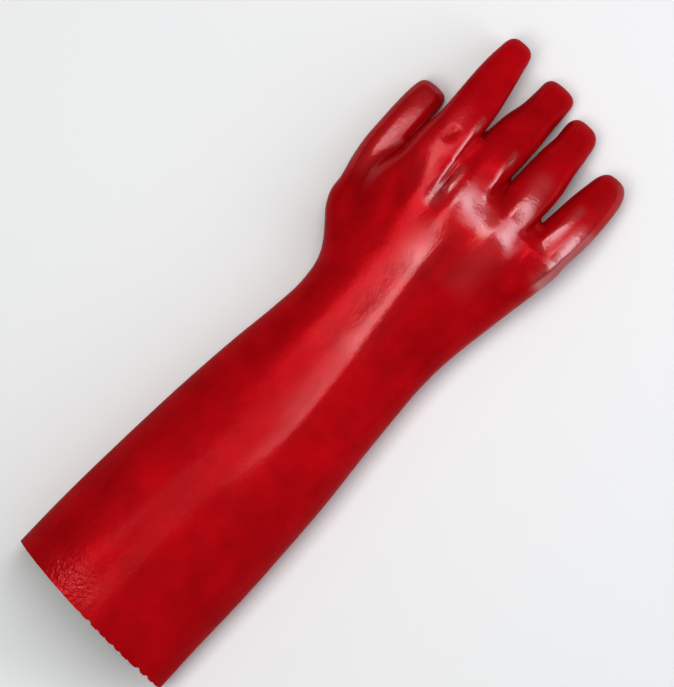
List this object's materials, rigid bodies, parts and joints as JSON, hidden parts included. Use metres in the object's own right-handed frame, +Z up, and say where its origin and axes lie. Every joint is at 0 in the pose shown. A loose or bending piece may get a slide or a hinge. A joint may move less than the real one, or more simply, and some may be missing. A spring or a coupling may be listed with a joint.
{
  "type": "long gauntlet safety glove",
  "caption": "Long PVC-coated gauntlet work glove for the right hand, one hollow piece open at the sleeve's slanting mouth, lying palm down with its fingers curled to the surface.",
  "frame": {"origin": "middle of the base of the glove's box, on the surface that the glove lies on", "axes": "+Y from the sleeve's mouth to the fingertips, -X to the thumb's side, +Z up from the palm to the back of the hand"},
  "size_m": [0.1481, 0.4492, 0.0736],
  "materials": {
    "pvc_coat": "glossy red PVC dip, smooth and slightly rippled, with soft highlights",
    "cotton_knit": "raw cotton knit, the glove's inside and the fibres at its cut edge"
  },
  "bodies": {
    "root": {"gauntlet_glove": "pvc_coat"}
  },
  "joints": []
}
